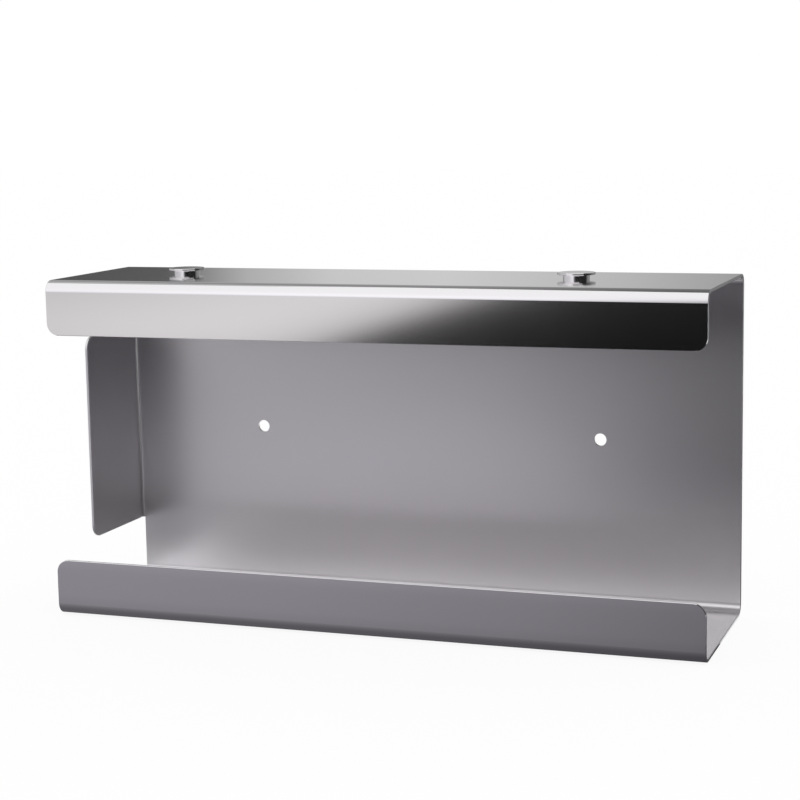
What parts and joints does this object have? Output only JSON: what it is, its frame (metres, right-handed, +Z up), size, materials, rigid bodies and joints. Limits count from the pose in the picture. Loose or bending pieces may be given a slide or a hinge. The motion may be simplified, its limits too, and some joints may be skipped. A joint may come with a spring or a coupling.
{
  "type": "disposable glove dispenser",
  "caption": "Open-fronted wall dispenser folded from brushed stainless sheet; a carton of disposable gloves slides in from the right end against a stop tab.",
  "frame": {"origin": "under the middle of the body, on the underside of the bottom panel", "axes": "+X from the stop tab to the open end, +Y from the open front to the wall, +Z up"},
  "size_m": [0.26, 0.0742, 0.1359],
  "materials": {
    "brushed_sheet": "brushed, satin",
    "turned_stud": "turned, bright"
  },
  "bodies": {
    "root": {"folded_body": "brushed_sheet", "stud_left": "turned_stud", "stud_right": "turned_stud"}
  },
  "joints": []
}
